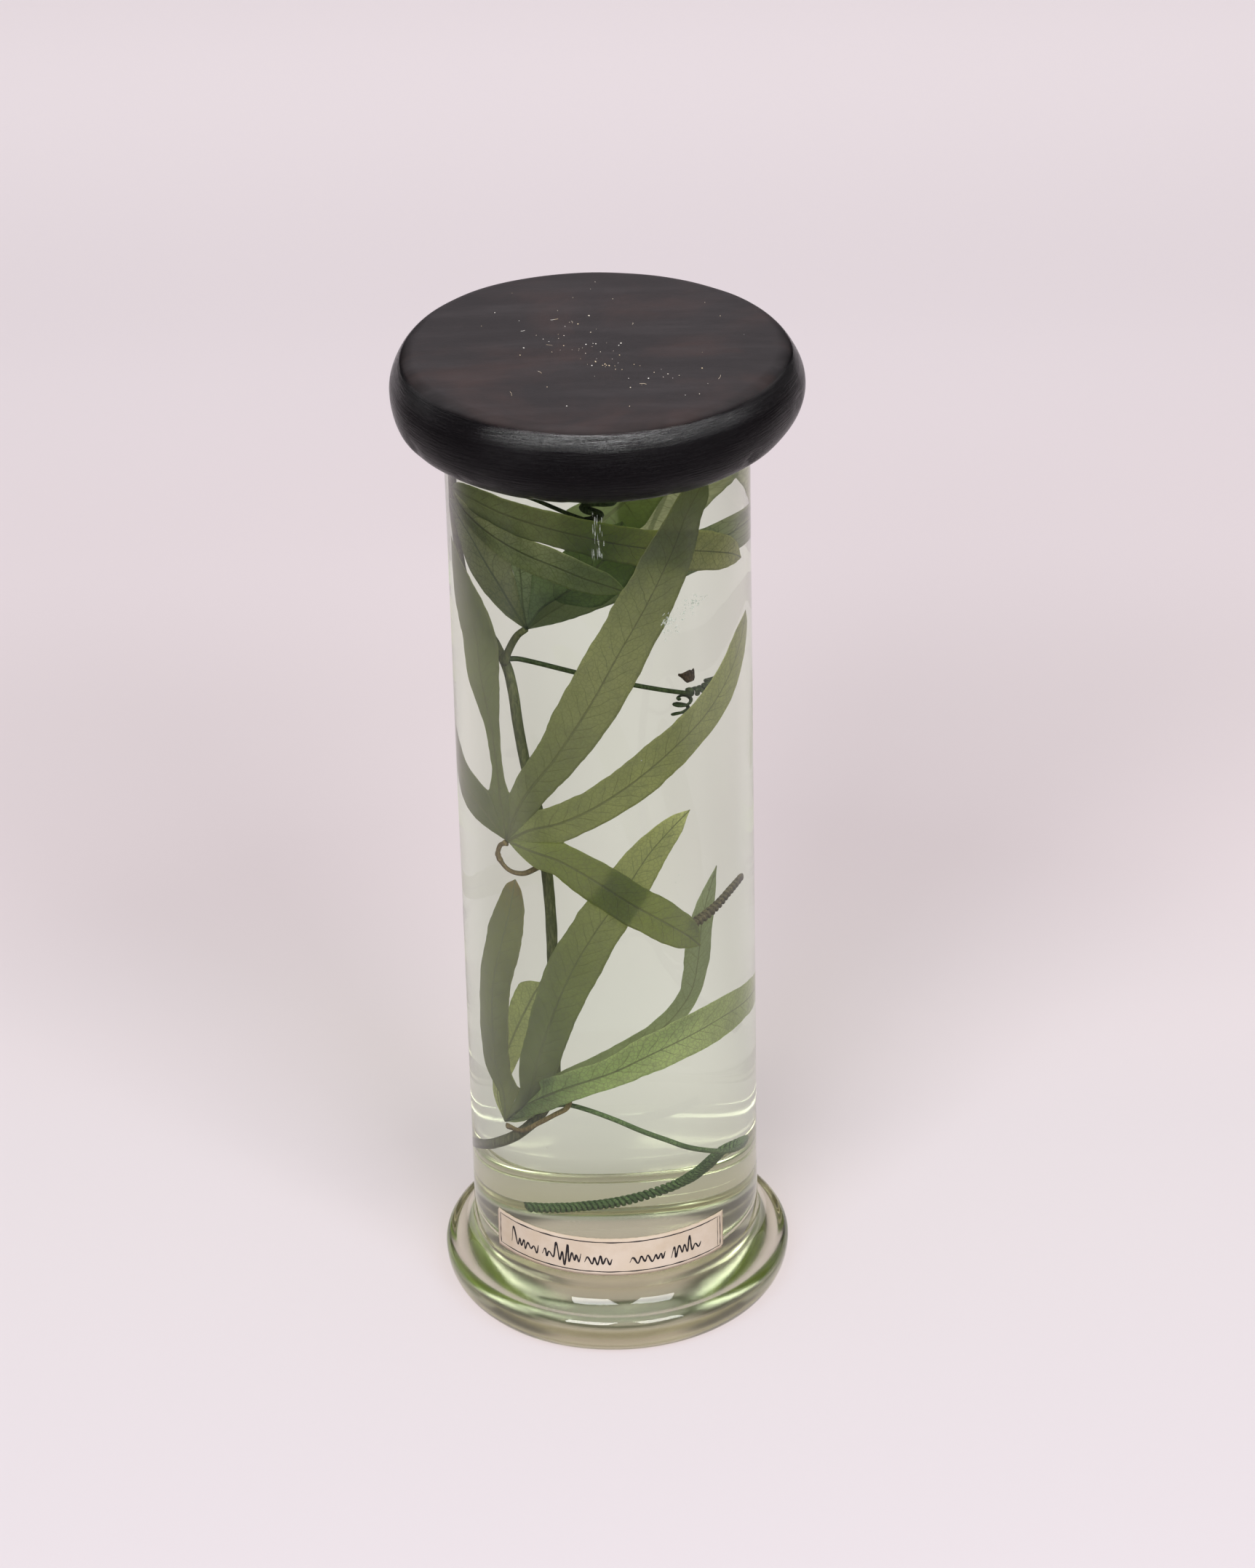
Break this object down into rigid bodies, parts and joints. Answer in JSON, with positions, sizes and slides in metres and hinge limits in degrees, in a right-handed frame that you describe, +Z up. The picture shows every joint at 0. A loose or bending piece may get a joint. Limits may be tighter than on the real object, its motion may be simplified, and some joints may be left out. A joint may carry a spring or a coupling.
{
  "type": "specimen jar",
  "caption": "Footed glass cylinder of preserving fluid holding a climbing-plant cutting, closed by a cover plate under a thick hand-formed black cap, with a small paper label.",
  "frame": {"origin": "centre of the foot's ground-flat underside, on the jar's axis", "axes": "+Z up along the jar's axis, -Y towards the label and the front of the specimen, +X to the right seen from the front"},
  "size_m": [0.0876, 0.0876, 0.2335],
  "materials": {
    "clear_glass": "gloss",
    "plate_glass": "satin",
    "fluid": "gloss",
    "black_pitch": "satin",
    "pale_cement": "matte",
    "label_paper": "matte",
    "leaf_green": "satin",
    "stem_green": "satin",
    "petiole_brown": "satin",
    "tendril_green": "satin",
    "bract_brown": "matte"
  },
  "bodies": {
    "jar": {"jar_body": "clear_glass", "preserving_fluid": "fluid", "rim_seal_ring": "pale_cement", "neck_seal_bead": "black_pitch", "label_paper": "label_paper", "main_stem": "stem_green", "upper_leaf": "leaf_green", "upper_petiole": "petiole_brown", "lower_leaf": "leaf_green", "lower_petiole": "petiole_brown", "crown_leaf": "leaf_green", "crown_petiole": "stem_green", "top_leaf": "leaf_green", "top_petiole": "stem_green", "back_leaf": "leaf_green", "back_petiole": "stem_green", "mid_tendril": "tendril_green", "tendril_bract": "bract_brown", "top_tendril": "tendril_green", "lower_tendril": "tendril_green", "tendril_stub": "tendril_green"},
    "cover": {"cover_plate": "plate_glass"},
    "cap": {"seal_cap": "black_pitch"}
  },
  "joints": [
    {"name": "plate_lift", "type": "slide", "parent": "jar", "child": "cover", "axis": [0, 0, 1], "range_m": [0, 0.06]},
    {"name": "cap_lift", "type": "slide", "parent": "cover", "child": "cap", "axis": [0, 0, 1], "range_m": [0, 0.05]}
  ]
}
